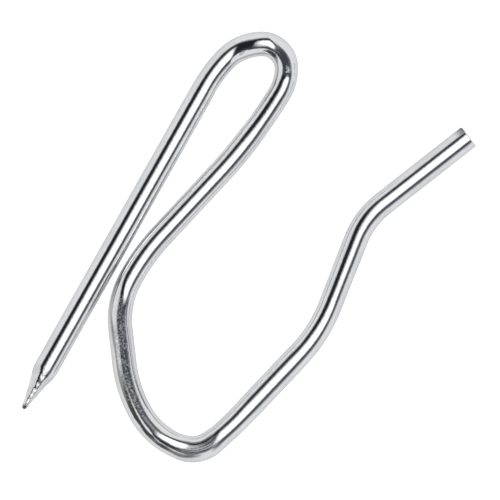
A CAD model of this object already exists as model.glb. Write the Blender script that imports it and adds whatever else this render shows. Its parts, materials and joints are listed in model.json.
"""Looks for a pin-on curtain hook: one bent length of plated wire with a ground point."""

import json
import math
from collections import namedtuple

import bpy
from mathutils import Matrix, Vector, noise


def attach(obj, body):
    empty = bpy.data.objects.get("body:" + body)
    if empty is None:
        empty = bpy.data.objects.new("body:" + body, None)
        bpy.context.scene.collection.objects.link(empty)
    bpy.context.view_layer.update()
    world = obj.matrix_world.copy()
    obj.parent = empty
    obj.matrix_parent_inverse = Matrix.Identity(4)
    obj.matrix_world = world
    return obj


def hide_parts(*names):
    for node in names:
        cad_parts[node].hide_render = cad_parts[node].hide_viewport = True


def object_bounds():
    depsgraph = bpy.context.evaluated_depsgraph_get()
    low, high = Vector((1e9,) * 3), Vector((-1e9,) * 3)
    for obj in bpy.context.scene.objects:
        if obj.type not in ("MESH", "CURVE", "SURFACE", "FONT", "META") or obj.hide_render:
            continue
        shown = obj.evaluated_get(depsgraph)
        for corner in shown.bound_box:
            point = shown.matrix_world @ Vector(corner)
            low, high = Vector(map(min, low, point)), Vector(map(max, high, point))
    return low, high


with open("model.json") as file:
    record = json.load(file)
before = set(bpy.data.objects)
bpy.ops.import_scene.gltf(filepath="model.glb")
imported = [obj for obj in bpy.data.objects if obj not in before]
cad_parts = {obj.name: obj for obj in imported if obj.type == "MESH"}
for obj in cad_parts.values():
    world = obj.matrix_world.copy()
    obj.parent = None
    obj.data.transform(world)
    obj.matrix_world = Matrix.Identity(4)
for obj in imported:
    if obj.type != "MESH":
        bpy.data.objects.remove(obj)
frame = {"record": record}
cad_low, cad_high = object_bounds()

MM = 0.001
MOUNTS = {mount["name"]: mount for mount in frame["record"]["mounts"]}

# The wire's radius comes from the tail's mount. The skin is drawn at the radius that the
# frame's faceted wire has, which is a few thousandths of a millimetre less.
WIRE_R = MOUNTS["tail"]["dims"]["r_mm"] * MM
SKIN_R = (cad_high.z - cad_low.z) / 2
MIDDLE_Z = (cad_high.z + cad_low.z) / 2

# The ground point and the cut end
TIP_R = 0.2 * MM
CONE_HALF_ANGLE = math.radians(13.5)
SHOULDER_R = 3.0 * MM
CUT_EDGE_R = 0.12 * MM

# The shank closes on the pin at this angle. The elbow stops this far short of the pin, and
# turns this many degrees past the place that is nearest to it.
SHANK_LEAN = 13.5
ELBOW_GAP = 0.35 * MM
ELBOW_UPPER_R = 15.5
ELBOW_PAST_PIN = 1.0

# The turns of the loop, in degrees. The pin and the shank point opposite ways, but for the
# lean, so the nose takes the rest of the half turn.
LOOP_SHOULDER_TURN = 14.0
LOOP_CROWN_TURN = 45.5
LOOP_CHEEK_TURN = 29.0
SHANK_BOW_TURN = 11.5
OTHER_LOOP_TURNS = LOOP_SHOULDER_TURN + LOOP_CROWN_TURN + LOOP_CHEEK_TURN + SHANK_BOW_TURN
LOOP_NOSE_TURN = 180 + SHANK_LEAN - OTHER_LOOP_TURNS

# Sampling of the wire's surface
SIDES = 96
RING_STEP = 0.16 * MM
POINT_RING_STEP = 0.05 * MM
FINE_LENGTH = 4.6 * MM
TIP_RING_ANGLES = (12, 25, 38, 51, 64)
CUT_EDGE_RINGS = 8
CUT_FACE_RINGS = (0.8, 0.6, 0.4, 0.2)

Stretch = namedtuple("Stretch", "name length radius turn")
Place = namedtuple("Place", "x y heading")


def straight(name, length):
    return Stretch(name, length * MM, 0.0, 0.0)


def bend(name, radius, turn):
    """A bend of a radius in millimetres and a turn in degrees, to the left if positive."""
    angle = math.radians(turn)
    return Stretch(name, abs(angle) * radius * MM, radius * MM, angle)


def along(place, stretch, distance):
    """The place a distance into a stretch that starts at place."""
    x, y, heading = place
    if not stretch.turn:
        return Place(x + distance * math.cos(heading), y + distance * math.sin(heading), heading)
    arm = math.copysign(stretch.radius, stretch.turn)
    new_heading = heading + distance / arm
    return Place(
        x + arm * (math.sin(new_heading) - math.sin(heading)),
        y - arm * (math.cos(new_heading) - math.cos(heading)),
        new_heading,
    )


def after(place, stretches):
    for stretch in stretches:
        place = along(place, stretch, stretch.length)
    return place


# The bending plan, from the point to the cut end: the length of each straight, and the
# radius and turn of each bend
PIN_AND_LOOP = [
    straight("pin", 27.0),
    bend("loop_shoulder", 10.0, -LOOP_SHOULDER_TURN),
    bend("loop_crown", 3.8, -LOOP_CROWN_TURN),
    bend("loop_nose", 1.8, -LOOP_NOSE_TURN),
    bend("loop_cheek", 3.8, -LOOP_CHEEK_TURN),
    bend("shank_bow", 37.0, -SHANK_BOW_TURN),
]
TIP_X = MOUNTS["pin_point"]["pos_m"][0]
TIP = Place(TIP_X, cad_high.y, math.radians(-90.0))


def shank_length():
    """Long enough to bring the elbow up to the pin, less the gap that pinches the cloth."""
    lean = math.radians(SHANK_LEAN)
    bulge = ELBOW_UPPER_R * MM * (1 - math.cos(lean))
    reach = 2 * WIRE_R + ELBOW_GAP + bulge
    return (TIP_X - after(TIP, PIN_AND_LOOP).x - reach) / math.sin(lean)


PLAN = PIN_AND_LOOP + [
    straight("shank", shank_length() / MM),
    bend("elbow_upper", ELBOW_UPPER_R, SHANK_LEAN + ELBOW_PAST_PIN),
    bend("elbow_lower", 6.2, 35.0),
    straight("belly_straight", 2.5),
    bend("belly", 9.5, 24.0),
    bend("seat", 5.5, 40.5),
    bend("seat_heel", 2.3, 57.0),
    bend("throat_bow", 20.0, 8.5),
    straight("throat", 6.1),
    bend("throat_bend", 11.0, 22.0),
    straight("steep", 5.2),
    bend("knee", 6.2, -30.5),
    straight("tail", 8.0),
]
WIRE_LENGTH = sum(stretch.length for stretch in PLAN)


def start_of(name):
    """How far from the tip a stretch starts, along the wire."""
    distance = 0.0
    for stretch in PLAN:
        if stretch.name == name:
            return distance
        distance += stretch.length
    raise KeyError(name)


def place_at(distance):
    """The place on the wire's middle line, a distance from the tip."""
    place = TIP
    for stretch in PLAN:
        if distance <= stretch.length or stretch is PLAN[-1]:
            return along(place, stretch, distance)
        place = along(place, stretch, stretch.length)
        distance -= stretch.length


def rise(value, middle, ramp):
    """0 well before middle and 1 well after it, smooth over the length of the ramp."""
    share = min(max((value - middle) / ramp + 0.5, 0.0), 1.0)
    return share * share * (3 - 2 * share)


def spell(value, start, end, ramp):
    """1 from start to end and 0 elsewhere, with a smooth ramp at both."""
    return rise(value, start, ramp) - rise(value, end, ramp)


# Where the bending tools and the cutter squeezed the wire: each spell is in millimetres past
# the start of a stretch, and says how much wider than round the wire is in the plane of the
# hook. Where it is wider, it is also thinner out of that plane, by a share of the widening.
Squeeze = namedtuple("Squeeze", "stretch start end ramp widening")
SQUEEZES = [
    Squeeze("loop_crown", -2.5, 0.5, 2.0, -0.03),
    Squeeze("loop_nose", -1.5, 0.5, 1.5, 0.015),
    Squeeze("loop_cheek", -0.8, 5.0, 2.0, -0.035),
    Squeeze("seat", 1.5, 3.0, 1.5, 0.02),
    Squeeze("seat_heel", -0.3, 2.6, 1.5, 0.08),
    Squeeze("throat", 0.5, 6.0, 2.0, 0.03),
    Squeeze("throat_bend", 2.0, 7.0, 2.0, -0.02),
    Squeeze("tail", 7.4, 9.0, 0.8, -0.005),
]
SQUEEZE_SPELLS = [
    (start_of(s.stretch) + s.start * MM, start_of(s.stretch) + s.end * MM, s.ramp * MM, s.widening)
    for s in SQUEEZES
]
FLATTENING_SHARE = 0.6


def widening(distance):
    return sum(amount * spell(distance, start, end, ramp)
               for start, end, ramp, amount in SQUEEZE_SPELLS)


# A real wire's small dents and bumps break its reflections. The mesh stays round here, and
# only the normals that the shading uses are tilted along the wire, by an angle in degrees.
# Each spell is in millimetres past the start of a stretch. Its ends slant, and come later on
# the left of the wire by slant times the way across. On the wire's right side only a share of
# the angle is left.
Tilt = namedtuple("Tilt", "stretch start end ramp angle slant right_share", defaults=(1.0,))
TILTS = [
    Tilt("pin", 0.3, 2.95, 0.6, 6.5, 0.0),
    Tilt("pin", 2.55, 3.35, 0.5, 4.0, 0.0),
    Tilt("loop_crown", 0.9, 2.3, 0.6, -9.0, 1.6),
    Tilt("loop_crown", 1.1, 2.9, 1.4, -8.0, 1.6),
    Tilt("loop_nose", 0.8, 3.5, 0.8, 21.0, -0.5, 0.35),
    Tilt("loop_cheek", 0.8, 5.5, 4.0, 4.0, 0.0),
    Tilt("elbow_lower", 1.3, 12.5, 1.6, 18.0, 1.8),
    Tilt("seat_heel", -0.2, 2.6, 1.0, -9.0, 1.4),
    Tilt("throat_bend", 3.8, 11.0, 4.0, -4.5, 0.0),
]
TILT_STARTS = [start_of(t.stretch) for t in TILTS]
RIGHT_SIDE = -0.2 * WIRE_R
RIGHT_SIDE_SOFT = 0.4 * WIRE_R


def tilt(distance, across):
    """The angle at a point that lies this far along the wire and to the left of its middle."""
    degrees = 0.0
    on_left = rise(across, RIGHT_SIDE, RIGHT_SIDE_SOFT)
    for t, stretch_start in zip(TILTS, TILT_STARTS):
        away = (distance - stretch_start - t.slant * across) / MM
        angle = t.angle * (t.right_share + (1 - t.right_share) * on_left)
        degrees += angle * spell(away, t.start, t.end, t.ramp)
    return math.radians(degrees)


# Where the cone starts and ends, and where its soft edge meets the round wire. The blunted
# tip, the cone and the soft edge are tangent to each other.
CONE_START = TIP_R * (1 - math.sin(CONE_HALF_ANGLE))
CONE_START_R = TIP_R * math.cos(CONE_HALF_ANGLE)
CONE_END_R = SKIN_R - SHOULDER_R * (1 - math.cos(CONE_HALF_ANGLE))
CONE_END = CONE_START + (CONE_END_R - CONE_START_R) / math.tan(CONE_HALF_ANGLE)
POINT_END = CONE_END + SHOULDER_R * math.sin(CONE_HALF_ANGLE)


def round_radius(distance):
    """The round radius of the wire: blunted tip, ground cone, soft edge, wire, cut edge."""
    if distance < CONE_START:
        return math.sqrt(max(TIP_R ** 2 - (TIP_R - distance) ** 2, 0.0))
    if distance < CONE_END:
        return CONE_START_R + (distance - CONE_START) * math.tan(CONE_HALF_ANGLE)
    if distance < POINT_END:
        return SKIN_R - SHOULDER_R + math.sqrt(SHOULDER_R ** 2 - (POINT_END - distance) ** 2)
    left = WIRE_LENGTH - distance
    if left < CUT_EDGE_R:
        into_edge = CUT_EDGE_R - left
        return SKIN_R - CUT_EDGE_R + math.sqrt(max(CUT_EDGE_R ** 2 - into_edge ** 2, 0.0))
    return SKIN_R


# The point was ground by hand in several passes. Each left a flat along the cone that faces
# one way (90 is up) and bites this share of the radius deep, and both wander along the cone.
GROUND_FLATS = [
    (44, 0.16), (97, 0.045), (145, 0.16), (196, 0.06), (242, 0.14), (290, 0.12), (338, 0.07),
]
FLAT_REACH = math.radians(60)
DEPTH_WANDER = 0.06
FACING_WANDER = math.radians(10)
WANDER_LENGTH = 0.55 * MM
WANDER_SEED_STEP = 3.7
RIDGE_SOFTNESS = 0.05
GRIND_LUMP = 0.05 * MM
GRIND_LUMP_SIZE = 0.4 * MM


def ground_bite(distance, angle, radius):
    """How deep the grinding bit into the round cone: flats with soft ridges, and lumps."""
    share = 1 - rise(distance, CONE_END, 2 * (POINT_END - CONE_END))
    if share <= 0:
        return 0.0
    nearness = math.exp(-1 / RIDGE_SOFTNESS)
    for number, (facing, depth) in enumerate(GROUND_FLATS):
        wander = noise.noise((distance / WANDER_LENGTH, WANDER_SEED_STEP * number, 0.0))
        away = angle - math.radians(facing) - FACING_WANDER * wander
        if math.cos(away) > math.cos(FLAT_REACH):
            reach = (1 - depth - DEPTH_WANDER * wander) / math.cos(away)
            nearness += math.exp(-reach / RIDGE_SOFTNESS)
    reach = min(-RIDGE_SOFTNESS * math.log(nearness), 1.0)
    lump = 0.5 + 0.5 * noise.noise((
        distance / GRIND_LUMP_SIZE,
        radius * math.cos(angle) / GRIND_LUMP_SIZE,
        radius * math.sin(angle) / GRIND_LUMP_SIZE,
    ))
    tip_share = min(radius / (2 * TIP_R), 1.0)
    return share * tip_share * (radius * (1 - reach) + GRIND_LUMP * lump)


def ring_distances():
    """Close rings on the point and the cut edge, wider ones along the wire."""
    distances = [TIP_R * (1 - math.cos(math.radians(a))) for a in TIP_RING_ANGLES]
    while distances[-1] < FINE_LENGTH:
        distances.append(distances[-1] + POINT_RING_STEP)
    start = distances[-1]
    last_plain = WIRE_LENGTH - CUT_EDGE_R
    count = math.ceil((last_plain - start) / RING_STEP)
    distances += [start + (last_plain - start) * i / count for i in range(1, count + 1)]
    distances += [
        last_plain + CUT_EDGE_R * math.sin(math.pi / 2 * i / CUT_EDGE_RINGS)
        for i in range(1, CUT_EDGE_RINGS + 1)
    ]
    return distances


SURFACES = ["plated_wire", "ground_point", "cut_face"]


class WireSkin:
    """The points and faces of the wire's surface, with each point's place on the wire as if
    it had never been bent: the distance from the tip, and the place across its section."""

    def __init__(self):
        self.points = []
        self.unbent = []
        self.faces = []
        self.surfaces = []

    def add_point(self, distance, across, up):
        place = place_at(distance)
        self.points.append((
            place.x - across * math.sin(place.heading),
            place.y + across * math.cos(place.heading),
            MIDDLE_Z + up,
        ))
        self.unbent.append((distance, across, up))

    def add_ring(self, distance, shrink=1.0):
        radius = round_radius(distance)
        widen = widening(distance)
        for k in range(SIDES):
            angle = 2 * math.pi * k / SIDES
            reach = (radius - ground_bite(distance, angle, radius)) * shrink
            self.add_point(
                distance,
                reach * math.cos(angle) * (1 + widen),
                reach * math.sin(angle) * (1 - max(widen, 0.0) * FLATTENING_SHARE),
            )

    def add_band(self, ring, surface):
        for k in range(SIDES):
            after_k = (k + 1) % SIDES
            near, far = ring * SIDES, (ring + 1) * SIDES
            self.faces.append((near + k, near + after_k, far + after_k, far + k))
            self.surfaces.append(SURFACES.index(surface))

    def add_fan(self, ring, distance, surface, turned):
        centre = len(self.points)
        self.add_point(distance, 0.0, 0.0)
        for k in range(SIDES):
            corner, after_corner = ring * SIDES + k, ring * SIDES + (k + 1) % SIDES
            self.faces.append(
                (corner, centre, after_corner) if turned else (corner, after_corner, centre)
            )
            self.surfaces.append(SURFACES.index(surface))

    def mesh(self, name):
        mesh = bpy.data.meshes.new(name)
        mesh.from_pydata(self.points, [], self.faces)
        mesh.polygons.foreach_set("material_index", self.surfaces)
        attribute = mesh.attributes.new("unbent", "FLOAT_VECTOR", "POINT")
        attribute.data.foreach_set("vector", [v for point in self.unbent for v in point])
        mesh.shade_smooth()
        mesh.normals_split_custom_set_from_vertices(self.tilted_normals(mesh))
        return mesh

    def tilted_normals(self, mesh):
        normals = []
        for (distance, across, _), normal in zip(self.unbent, mesh.vertex_normals):
            heading = place_at(distance).heading
            travel = Vector((math.cos(heading), math.sin(heading), 0.0))
            lift = math.tan(tilt(distance, across))
            normals.append((normal.vector + travel * lift).normalized())
        return normals


def wire_mesh():
    """The whole wire as one closed skin: the tip, the rings along it and the cut face."""
    skin = WireSkin()
    distances = ring_distances()
    for distance in distances:
        skin.add_ring(distance)
    for share in CUT_FACE_RINGS:
        skin.add_ring(WIRE_LENGTH, share)
    last_ring = len(distances) + len(CUT_FACE_RINGS) - 1
    last_edge_band = len(distances) - 2
    for ring in range(last_ring):
        if ring >= last_edge_band:
            surface = "cut_face"
        elif distances[ring] < POINT_END:
            surface = "ground_point"
        else:
            surface = "plated_wire"
        skin.add_band(ring, surface)
    skin.add_fan(0, 0.0, "ground_point", turned=True)
    skin.add_fan(last_ring, WIRE_LENGTH, "cut_face", turned=False)
    return skin.mesh("bent_wire")


# The sockets of a Mix node that carry colours: it has others of the same names
MIX_FIRST_COLOUR = 6
MIX_SECOND_COLOUR = 7
MIX_COLOUR_RESULT = 2


class Graph:
    """Adds nodes to a node tree and joins them up. An input is a number, a tuple or a socket."""

    def __init__(self, tree):
        self.tree = tree

    def put(self, value, socket):
        if isinstance(value, bpy.types.NodeSocket):
            self.tree.links.new(value, socket)
        else:
            socket.default_value = value

    def node(self, kind, inputs=None, **settings):
        made = self.tree.nodes.new(kind)
        for name, value in settings.items():
            setattr(made, name, value)
        for key, value in (inputs or {}).items():
            self.put(value, made.inputs[key])
        return made

    def maths(self, operation, *values):
        return self.node("ShaderNodeMath", dict(enumerate(values)), operation=operation).outputs[0]

    def vector(self, operation, *values):
        made = self.node("ShaderNodeVectorMath", dict(enumerate(values)), operation=operation)
        return made.outputs["Value" if operation == "DOT_PRODUCT" else "Vector"]

    def parts(self, vector):
        """The three parts of a vector."""
        return self.node("ShaderNodeSeparateXYZ", {"Vector": vector}).outputs

    def ramp(self, value, start, end, low=0.0, high=1.0):
        """Runs smoothly from low to high as the value runs from start to end."""
        inputs = {"Value": value, "From Min": start, "From Max": end, "To Min": low, "To Max": high}
        made = self.node("ShaderNodeMapRange", inputs, interpolation_type="SMOOTHSTEP")
        return made.outputs["Result"]

    def window(self, value, start, end, soft_start, soft_end):
        """1 between start and end and 0 beyond them, with a soft edge at each."""
        opening = self.ramp(value, start - soft_start / 2, start + soft_start / 2)
        closing = self.ramp(value, end - soft_end / 2, end + soft_end / 2, 1.0, 0.0)
        return self.maths("MULTIPLY", opening, closing)

    def blend(self, share, first, second):
        """A colour that runs from the first to the second."""
        made = self.node("ShaderNodeMix", data_type="RGBA")
        self.put(share, made.inputs["Factor"])
        self.put(first, made.inputs[MIX_FIRST_COLOUR])
        self.put(second, made.inputs[MIX_SECOND_COLOUR])
        return made.outputs[MIX_COLOUR_RESULT]

    def noise(self, place, scale, detail, roughness=0.5):
        inputs = {"Vector": place, "Scale": scale, "Detail": detail, "Roughness": roughness}
        return self.node("ShaderNodeTexNoise", inputs).outputs["Fac"]

    def bump(self, height, depth, under=None):
        """A normal for a height that runs from 0 to 1 over a depth in metres."""
        made = self.node("ShaderNodeBump", {"Strength": 1.0, "Distance": depth, "Height": height})
        if under is not None:
            self.put(under, made.inputs["Normal"])
        return made.outputs["Normal"]

    def group(self, tree, inputs):
        made = self.tree.nodes.new("ShaderNodeGroup")
        made.node_tree = tree
        for key, value in inputs.items():
            self.put(value, made.inputs[key])
        return made.outputs


FLOAT, VECTOR = "NodeSocketFloat", "NodeSocketVector"


def new_group(name, inputs, outputs):
    """A node group with named sockets: returns its tree, its graph and its two ends."""
    tree = bpy.data.node_groups.new(name, "ShaderNodeTree")
    for socket_name, kind in inputs.items():
        tree.interface.new_socket(socket_name, in_out="INPUT", socket_type=kind)
    for socket_name, kind in outputs.items():
        tree.interface.new_socket(socket_name, in_out="OUTPUT", socket_type=kind)
    graph = Graph(tree)
    return tree, graph, graph.node("NodeGroupInput").outputs, graph.node("NodeGroupOutput").inputs


LINE_DETAIL = 3.0
LINE_ROUGHNESS = 0.6
DEEP_LINES = (0.58, 0.72)


def draw_lines_group():
    """Fine lines of a length and width: their height, and a mask of the deeper ones."""
    inputs = {"Place": VECTOR, "Length": FLOAT, "Width": FLOAT}
    tree, graph, given, result = new_group("draw_lines", inputs, {"Height": FLOAT, "Deep": FLOAT})
    per_length = graph.maths("DIVIDE", 1.0, given["Length"])
    per_width = graph.maths("DIVIDE", 1.0, given["Width"])
    scale = graph.node("ShaderNodeCombineXYZ", {"X": per_length, "Y": per_width, "Z": per_width})
    stretched = graph.vector("MULTIPLY", given["Place"], scale.outputs["Vector"])
    height = graph.noise(stretched, 1.0, LINE_DETAIL, LINE_ROUGHNESS)
    graph.put(height, result["Height"])
    graph.put(graph.ramp(height, *DEEP_LINES), result["Deep"])
    return tree


PATCH_DETAIL = 2.0
PATCH_WEIGHT = 0.7
GRAIN_DETAIL = 1.0
GRAIN_WEIGHT = 0.3
MOTTLED = (0.36, 0.64)


def mottle_group():
    """Soft uneven patches: a height for bumps, and a share for colour and roughness."""
    inputs = {"Place": VECTOR, "Size": FLOAT, "Grain": FLOAT}
    tree, graph, given, result = new_group("mottle", inputs, {"Height": FLOAT, "Share": FLOAT})
    per_size = graph.maths("DIVIDE", 1.0, given["Size"])
    per_grain = graph.maths("DIVIDE", 1.0, given["Grain"])
    patches = graph.noise(given["Place"], per_size, PATCH_DETAIL)
    grain = graph.noise(given["Place"], per_grain, GRAIN_DETAIL)
    weighed_grain = graph.maths("MULTIPLY", grain, GRAIN_WEIGHT)
    uneven = graph.maths("MULTIPLY_ADD", patches, PATCH_WEIGHT, weighed_grain)
    graph.put(grain, result["Height"])
    graph.put(graph.ramp(uneven, *MOTTLED), result["Share"])
    return tree


EDGE_TINT = (0.75, 0.75, 0.76, 1)


def new_metal(name):
    """A metal: its material, graph, place on the unbent wire, and the inputs of its shader."""
    material = bpy.data.materials.new(name)
    material.use_nodes = True
    graph = Graph(material.node_tree)
    place = graph.node("ShaderNodeAttribute", attribute_name="unbent").outputs["Vector"]
    inputs = material.node_tree.nodes["Principled BSDF"].inputs
    inputs["Metallic"].default_value = 1.0
    inputs["Specular Tint"].default_value = EDGE_TINT
    return material, graph, place, inputs


# The cutter dragged bare steel over the left flank of the wire's end
SMEARED_STEEL = (0.18, 0.18, 0.185, 1)
SMEAR_LENGTH = 0.9 * MM
SMEAR_ACROSS = (0.25 * MM, 0.6 * MM)


def shear_smear(graph, distance, across, uneven):
    """How much of the smear covers a place on the wire: most at the end, on the left flank."""
    ragged = graph.maths("MULTIPLY_ADD", uneven, SMEAR_LENGTH, distance)
    at_end = graph.ramp(ragged, WIRE_LENGTH - SMEAR_LENGTH / 2, WIRE_LENGTH + SMEAR_LENGTH / 2)
    return graph.maths("MULTIPLY", at_end, graph.ramp(across, *SMEAR_ACROSS))


# A line that the bender's jaw scored along the elbow and the belly, on the upper half of the
# wire, where it slants a little across the wire
SCORED_STEEL = (0.22, 0.22, 0.23, 1)
SCORE_SPAN = (start_of("elbow_lower") + 1.2 * MM, start_of("seat") - 0.3 * MM)
SCORE_END_SOFT = 0.8 * MM
SCORE_ACROSS = 0.46 * MM
SCORE_SLANT = 0.014
SCORE_WIDTH = 0.07 * MM
SCORE_UP = (0.0, 0.2 * MM)


def jaw_score(graph, distance, across, up):
    """How much of the scored line covers a place on the wire."""
    span = graph.window(distance, *SCORE_SPAN, SCORE_END_SOFT, SCORE_END_SOFT)
    past = graph.maths("SUBTRACT", distance, SCORE_SPAN[0])
    middle = graph.maths("MULTIPLY_ADD", past, SCORE_SLANT, SCORE_ACROSS)
    off = graph.maths("SUBTRACT", across, middle)
    line = graph.window(off, -SCORE_WIDTH / 2, SCORE_WIDTH / 2, SCORE_WIDTH, SCORE_WIDTH)
    upper = graph.ramp(up, *SCORE_UP)
    return graph.maths("MULTIPLY", upper, graph.maths("MULTIPLY", span, line))


# The top of the belly is rubbed to fine specks
RUBBED_SPAN = (start_of("elbow_lower") + 1.2 * MM, start_of("seat"))
RUBBED_SPAN_SOFT = (0.8 * MM, 3.0 * MM)
RUBBED_ACROSS = (-0.45 * MM, 0.6 * MM)
RUBBED_ACROSS_SOFT = (0.2 * MM, 0.2 * MM)
SPECK_SIZE = 0.16 * MM
SPECK_DETAIL = 3.0
SPECKS = (0.36, 0.70)


def rubbed_belly(graph, distance, across):
    """How far a place on the wire lies inside the rubbed belly."""
    length = graph.window(distance, *RUBBED_SPAN, *RUBBED_SPAN_SOFT)
    width = graph.window(across, *RUBBED_ACROSS, *RUBBED_ACROSS_SOFT)
    return graph.maths("MULTIPLY", length, width)


# The heel of the seat was scuffed in the bender
SCUFFED_SPAN = (start_of("seat_heel") - 0.4 * MM, start_of("seat_heel") + 2.8 * MM)
SCUFFED_SOFT = 1.2 * MM
SCUFF_LINES = (0.35, 0.65)


def scuffed_heel(graph, distance, line_height):
    """How much of a scuff covers a place on the wire. The scuffs follow the draw lines."""
    scuffed = graph.window(distance, *SCUFFED_SPAN, SCUFFED_SOFT, SCUFFED_SOFT)
    return graph.maths("MULTIPLY", scuffed, graph.ramp(line_height, *SCUFF_LINES))


# Bright plating over drawn wire
PLATED_BRIGHT = (0.72, 0.725, 0.735, 1)
PLATED_DULL = (0.66, 0.67, 0.685, 1)
PLATED_LINES = {"Length": 6 * MM, "Width": 0.08 * MM}
PLATED_LINE_DEPTH = 0.0016 * MM
PLATED_MOTTLE = {"Size": 1.6 * MM, "Grain": 0.22 * MM}
PLATED_GRAIN_DEPTH = 0.03 * MM
PLATED_GRAIN_SHARE = 0.12
RUBBED_GRAIN_SHARE = 0.1
PLATED_ROUGHNESS = 0.05
DULL_ROUGHNESS = 0.04
SPECK_ROUGHNESS = 0.22
SCUFF_ROUGHNESS = 0.34


def plated_wire(draw_lines, mottle):
    """Draw lines, faint unevenness, a rubbed belly, a scuffed heel, a score and a smear."""
    material, graph, place, inputs = new_metal("plated_wire")
    distance, across, up = graph.parts(place)
    lines = graph.group(draw_lines, {"Place": place, **PLATED_LINES})
    plating = graph.group(mottle, {"Place": place, **PLATED_MOTTLE})
    smear = shear_smear(graph, distance, across, lines["Height"])
    score = jaw_score(graph, distance, across, up)
    plated = graph.blend(plating["Share"], PLATED_BRIGHT, PLATED_DULL)
    smeared = graph.blend(smear, plated, SMEARED_STEEL)
    graph.put(graph.blend(score, smeared, SCORED_STEEL), inputs["Base Color"])
    rubbed = rubbed_belly(graph, distance, across)
    specks = graph.ramp(graph.noise(place, 1 / SPECK_SIZE, SPECK_DETAIL), *SPECKS)
    rubbed_specks = graph.maths("MULTIPLY", rubbed, specks)
    scuffs = scuffed_heel(graph, distance, lines["Height"])
    roughness = graph.maths("MULTIPLY_ADD", plating["Share"], DULL_ROUGHNESS, PLATED_ROUGHNESS)
    roughness = graph.maths("MULTIPLY_ADD", rubbed_specks, SPECK_ROUGHNESS, roughness)
    roughness = graph.maths("MULTIPLY_ADD", scuffs, SCUFF_ROUGHNESS, roughness)
    graph.put(roughness, inputs["Roughness"])
    grain_share = graph.maths("MULTIPLY_ADD", rubbed, RUBBED_GRAIN_SHARE, PLATED_GRAIN_SHARE)
    grain = graph.maths("MULTIPLY", plating["Height"], grain_share)
    normal = graph.bump(lines["Height"], PLATED_LINE_DEPTH)
    graph.put(graph.bump(grain, PLATED_GRAIN_DEPTH, normal), inputs["Normal"])
    return material


# The ground point is plated over the grinder's marks, which run across the cone. The plating
# is worn off the tip.
POINT_BRIGHT = (0.72, 0.725, 0.73, 1)
POINT_DULL = (0.60, 0.61, 0.62, 1)
POINT_MARKS = {"Length": 0.09 * MM, "Width": 0.5 * MM}
POINT_MARK_DEPTH = 0.006 * MM
POINT_MOTTLE = {"Size": 0.9 * MM, "Grain": 0.16 * MM}
POINT_GRAIN_DEPTH = 0.010 * MM
POINT_ROUGHNESS = 0.10
POINT_MARK_ROUGHNESS = 0.12
WORN_STEEL = (0.14, 0.14, 0.145, 1)
WORN_TIP = (0.15 * MM, 0.45 * MM)


def ground_point(draw_lines, mottle):
    """Grinder's marks under the plating, and a worn tip."""
    material, graph, place, inputs = new_metal("ground_point")
    distance = graph.parts(place)["X"]
    marks = graph.group(draw_lines, {"Place": place, **POINT_MARKS})
    plating = graph.group(mottle, {"Place": place, **POINT_MOTTLE})
    plated = graph.blend(plating["Share"], POINT_BRIGHT, POINT_DULL)
    worn = graph.ramp(distance, *WORN_TIP, 1.0, 0.0)
    roughness = graph.maths("MULTIPLY_ADD", marks["Deep"], POINT_MARK_ROUGHNESS, POINT_ROUGHNESS)
    normal = graph.bump(marks["Height"], POINT_MARK_DEPTH)
    graph.put(graph.blend(worn, plated, WORN_STEEL), inputs["Base Color"])
    graph.put(roughness, inputs["Roughness"])
    graph.put(graph.bump(plating["Height"], POINT_GRAIN_DEPTH, normal), inputs["Normal"])
    return material


# The sheared end is scored one way by the blade, and duller than the plating
CUT_BRIGHT = (0.66, 0.665, 0.67, 1)
CUT_DULL = (0.50, 0.505, 0.515, 1)
CUT_SCORES = {"Length": 0.3 * MM, "Width": 0.05 * MM}
CUT_SCORE_DEPTH = 0.004 * MM
CUT_MOTTLE = {"Size": 0.6 * MM, "Grain": 0.1 * MM}
CUT_GRAIN_DEPTH = 0.006 * MM
CUT_ROUGHNESS = 0.22
CUT_SCORE_ROUGHNESS = 0.15


def cut_face(draw_lines, mottle):
    """The blade's scores and a dull mottle."""
    material, graph, place, inputs = new_metal("cut_face")
    scores = graph.group(draw_lines, {"Place": place, **CUT_SCORES})
    plating = graph.group(mottle, {"Place": place, **CUT_MOTTLE})
    roughness = graph.maths("MULTIPLY_ADD", scores["Deep"], CUT_SCORE_ROUGHNESS, CUT_ROUGHNESS)
    normal = graph.bump(scores["Height"], CUT_SCORE_DEPTH)
    graph.put(graph.blend(plating["Share"], CUT_BRIGHT, CUT_DULL), inputs["Base Color"])
    graph.put(roughness, inputs["Roughness"])
    graph.put(graph.bump(plating["Height"], CUT_GRAIN_DEPTH, normal), inputs["Normal"])
    return material


# The camera looks straight down. These are the directions to the right and up in its view.
VIEW_RIGHT = Vector((-0.8710, -0.4912, 0.0))
VIEW_UP = Vector((0.4912, -0.8710, 0.0))

WHITE = (1, 1, 1, 1)

# The studio overhead, on a flat sheet one unit up: a strip light in dark shade. Both are
# measured along and across the strip, and one corner of the shade is cut off. The shade is
# near black, but for the part further along, which is slate on one side and grey on the other.
STRIP_TURN = math.radians(-63)
STRIP_ALONG = (-0.50, 0.475)
STRIP_ACROSS = (-0.09, 0.55)
STRIP_ALONG_SOFT = (0.7, 0.75)
STRIP_ACROSS_SOFT = (0.58, 0.5)
SHADE_ALONG = (-1.6, 2.1)
SHADE_ACROSS = (-1.0, 1.2)
SHADE_ALONG_SOFT = (1.4, 2.6)
SHADE_ACROSS_SOFT = (0.6, 0.8)
SHADE_CORNER = (1.0, 1.2)
SHADE_CORNER_SLANT = -0.6
SHADE_CORNER_SIDE = (-0.1, 0.2)
SHADE_FURTHER = (0.0, 0.5)
SHADE_GREY_SIDE = (0.4, 0.9)
STRIP_LEVEL = (3.0, 3.0, 3.0, 1)
ROOM_LEVEL = (1.0, 1.0, 1.0, 1)
SHADE_LEVEL = (0.02, 0.02, 0.025, 1)
SLATE_LEVEL = (0.06, 0.067, 0.09, 1)
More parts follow.
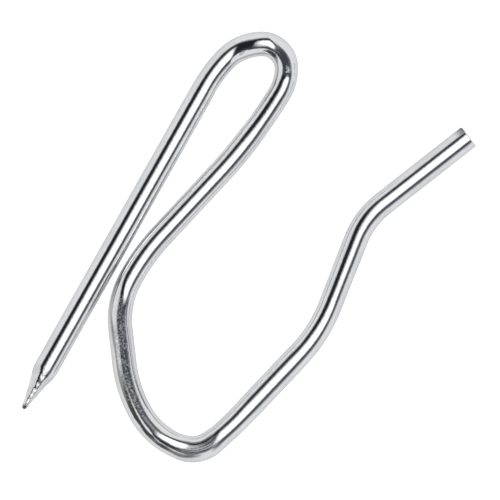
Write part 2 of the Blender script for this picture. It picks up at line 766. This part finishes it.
GREY_LEVEL = (0.13, 0.13, 0.13, 1)
LEAST_HEIGHT = 0.001


def place_overhead(graph, direction):
    """Where a direction meets the sheet overhead: how far along and across the strip."""
    along_strip = VIEW_RIGHT * math.cos(STRIP_TURN) + VIEW_UP * math.sin(STRIP_TURN)
    across_strip = VIEW_UP * math.cos(STRIP_TURN) - VIEW_RIGHT * math.sin(STRIP_TURN)
    height = graph.vector("DOT_PRODUCT", direction, (0, 0, 1))
    height = graph.maths("MAXIMUM", height, LEAST_HEIGHT)
    along_way = graph.vector("DOT_PRODUCT", direction, along_strip)
    across_way = graph.vector("DOT_PRODUCT", direction, across_strip)
    return graph.maths("DIVIDE", along_way, height), graph.maths("DIVIDE", across_way, height)


def strip_share(graph, far_along, far_across):
    """How much of the strip light is seen at a place overhead."""
    length = graph.window(far_along, *STRIP_ALONG, *STRIP_ALONG_SOFT)
    width = graph.window(far_across, *STRIP_ACROSS, *STRIP_ACROSS_SOFT)
    return graph.maths("MULTIPLY", length, width)


def shade_share(graph, far_along, far_across):
    """How much of the shade is seen at a place overhead."""
    length = graph.window(far_along, *SHADE_ALONG, *SHADE_ALONG_SOFT)
    width = graph.window(far_across, *SHADE_ACROSS, *SHADE_ACROSS_SOFT)
    slanted = graph.maths("MULTIPLY_ADD", far_across, SHADE_CORNER_SLANT, far_along)
    past_corner = graph.ramp(slanted, *SHADE_CORNER)
    corner_side = graph.ramp(far_across, *SHADE_CORNER_SIDE, 1.0, 0.0)
    corner = graph.maths("MULTIPLY", past_corner, corner_side)
    left = graph.maths("SUBTRACT", 1.0, corner)
    return graph.maths("MULTIPLY", graph.maths("MULTIPLY", length, width), left)


def shade_level(graph, far_along, far_across):
    further = graph.ramp(far_along, *SHADE_FURTHER)
    grey_side = graph.ramp(far_across, *SHADE_GREY_SIDE)
    return graph.blend(further, SHADE_LEVEL, graph.blend(grey_side, SLATE_LEVEL, GREY_LEVEL))


# A dim stand low at one side of the studio: where its middle is, and which way it slants
STAND_AT = (math.radians(-122), math.radians(22))
STAND_SLANT = math.radians(45)
STAND_WIDTH = (-0.26, 0.20)
STAND_LENGTH = (-0.75, 0.36)
STAND_SOFT = 0.14
STAND_FACING = (0.0, 0.3)
STAND_FAR_LEVEL = (0.42, 0.415, 0.40, 1)
STAND_NEAR_LEVEL = (0.07, 0.07, 0.07, 1)
STAND_SHADING = (-0.25, 0.02)


def add_stand(graph, direction, level):
    """The level seen in a direction, with the dim stand in front of it."""
    turn, height = STAND_AT
    outward = VIEW_RIGHT * math.cos(turn) + VIEW_UP * math.sin(turn)
    sideways = VIEW_UP * math.cos(turn) - VIEW_RIGHT * math.sin(turn)
    middle = outward * math.cos(height) + Vector((0, 0, math.sin(height)))
    upright = Vector((0, 0, math.cos(height))) - outward * math.sin(height)
    long_way = sideways * math.cos(STAND_SLANT) + upright * math.sin(STAND_SLANT)
    short_way = upright * math.cos(STAND_SLANT) - sideways * math.sin(STAND_SLANT)
    along_it = graph.vector("DOT_PRODUCT", direction, long_way)
    across_it = graph.vector("DOT_PRODUCT", direction, short_way)
    facing = graph.ramp(graph.vector("DOT_PRODUCT", direction, middle), *STAND_FACING)
    length = graph.window(along_it, *STAND_LENGTH, STAND_SOFT, STAND_SOFT)
    width = graph.window(across_it, *STAND_WIDTH, STAND_SOFT, STAND_SOFT)
    share = graph.maths("MULTIPLY", facing, graph.maths("MULTIPLY", length, width))
    nearness = graph.ramp(graph.vector("DOT_PRODUCT", direction, sideways), *STAND_SHADING)
    stand = graph.blend(nearness, STAND_FAR_LEVEL, STAND_NEAR_LEVEL)
    return graph.blend(share, level, stand)


def seen_directly(path):
    """The two kinds of ray of a Light Path node that show the background itself."""
    return path["Is Camera Ray"], path["Is Transmission Ray"]


def studio_world():
    """White for the camera. The metal sees a strip light in dark shade over a pale room."""
    world = bpy.data.worlds.new("studio")
    bpy.context.scene.world = world
    world.use_nodes = True
    world.node_tree.nodes.clear()
    graph = Graph(world.node_tree)
    direction = graph.node("ShaderNodeTexCoord").outputs["Generated"]
    overhead = place_overhead(graph, direction)
    level = add_stand(graph, direction, ROOM_LEVEL)
    level = graph.blend(shade_share(graph, *overhead), level, shade_level(graph, *overhead))
    level = graph.blend(strip_share(graph, *overhead), level, STRIP_LEVEL)
    path = graph.node("ShaderNodeLightPath").outputs
    seen = graph.maths("MAXIMUM", *seen_directly(path))
    colour = graph.blend(seen, level, WHITE)
    background = graph.node("ShaderNodeBackground", {"Color": colour, "Strength": 1.0})
    graph.node("ShaderNodeOutputWorld", {"Surface": background.outputs["Background"]})


FLOOR_HALF_SIZE = 0.6
FLOOR_COLOUR = (0.5, 0.5, 0.5, 1)
FLOOR_SEEN_BY_CAMERA = 0.9
FLOOR_SEEN_BY_METAL = 0.58


def floor_material():
    """Matt and pale. It glows a little more for the camera than for the metal."""
    material = bpy.data.materials.new("pale_floor")
    material.use_nodes = True
    graph = Graph(material.node_tree)
    path = graph.node("ShaderNodeLightPath").outputs
    seen = graph.maths("MAXIMUM", *seen_directly(path))
    to_camera = graph.maths("MULTIPLY", seen, FLOOR_SEEN_BY_CAMERA)
    glow = graph.maths("MULTIPLY_ADD", path["Is Glossy Ray"], FLOOR_SEEN_BY_METAL, to_camera)
    inputs = material.node_tree.nodes["Principled BSDF"].inputs
    inputs["Base Color"].default_value = FLOOR_COLOUR
    inputs["Roughness"].default_value = 1.0
    inputs["Specular IOR Level"].default_value = 0.0
    inputs["Emission Color"].default_value = WHITE
    graph.put(glow, inputs["Emission Strength"])
    return material


def floor():
    """A pale sheet that the hook lies on. It keeps the hook's faint shadow."""
    mesh = bpy.data.meshes.new("floor")
    corners = [Vector((x, y, 0)) for x, y in ((-1, -1), (1, -1), (1, 1), (-1, 1))]
    mesh.from_pydata([corner * FLOOR_HALF_SIZE for corner in corners], [], [(0, 1, 2, 3)])
    mesh.materials.append(floor_material())
    sheet = bpy.data.objects.new("floor", mesh)
    bpy.context.scene.collection.objects.link(sheet)


# The frame is this wide, and its middle is this far from the middle of the hook's footprint
FRAME_WIDTH = 36.52 * MM
FRAME_MIDDLE = (0.53 * MM, -1.41 * MM)
CAMERA_HEIGHT = 1200 * MM
CLIP_NEAR = 10 * MM
CLIP_FAR = 10000 * MM


def camera():
    """Looks straight down from far off, as the photograph does."""
    data = bpy.data.cameras.new("camera")
    data.lens = data.sensor_width * CAMERA_HEIGHT / FRAME_WIDTH
    data.clip_start = CLIP_NEAR
    data.clip_end = CLIP_FAR
    eye = bpy.data.objects.new("camera", data)
    bpy.context.scene.collection.objects.link(eye)
    eye.location = (*FRAME_MIDDLE, MIDDLE_Z + CAMERA_HEIGHT)
    eye.rotation_euler = (0, 0, math.atan2(VIEW_RIGHT.y, VIEW_RIGHT.x))
    bpy.context.scene.camera = eye


def hook():
    """The bent wire, in place of the plain one."""
    wire = bpy.data.objects.new("hook_wire", wire_mesh())
    bpy.context.scene.collection.objects.link(wire)
    groups = draw_lines_group(), mottle_group()
    for finish in (plated_wire(*groups), ground_point(*groups), cut_face(*groups)):
        wire.data.materials.append(finish)
    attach(wire, "root")
    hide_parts("hook")


hook()
studio_world()
floor()
camera()
bpy.context.scene.view_settings.view_transform = "Standard"
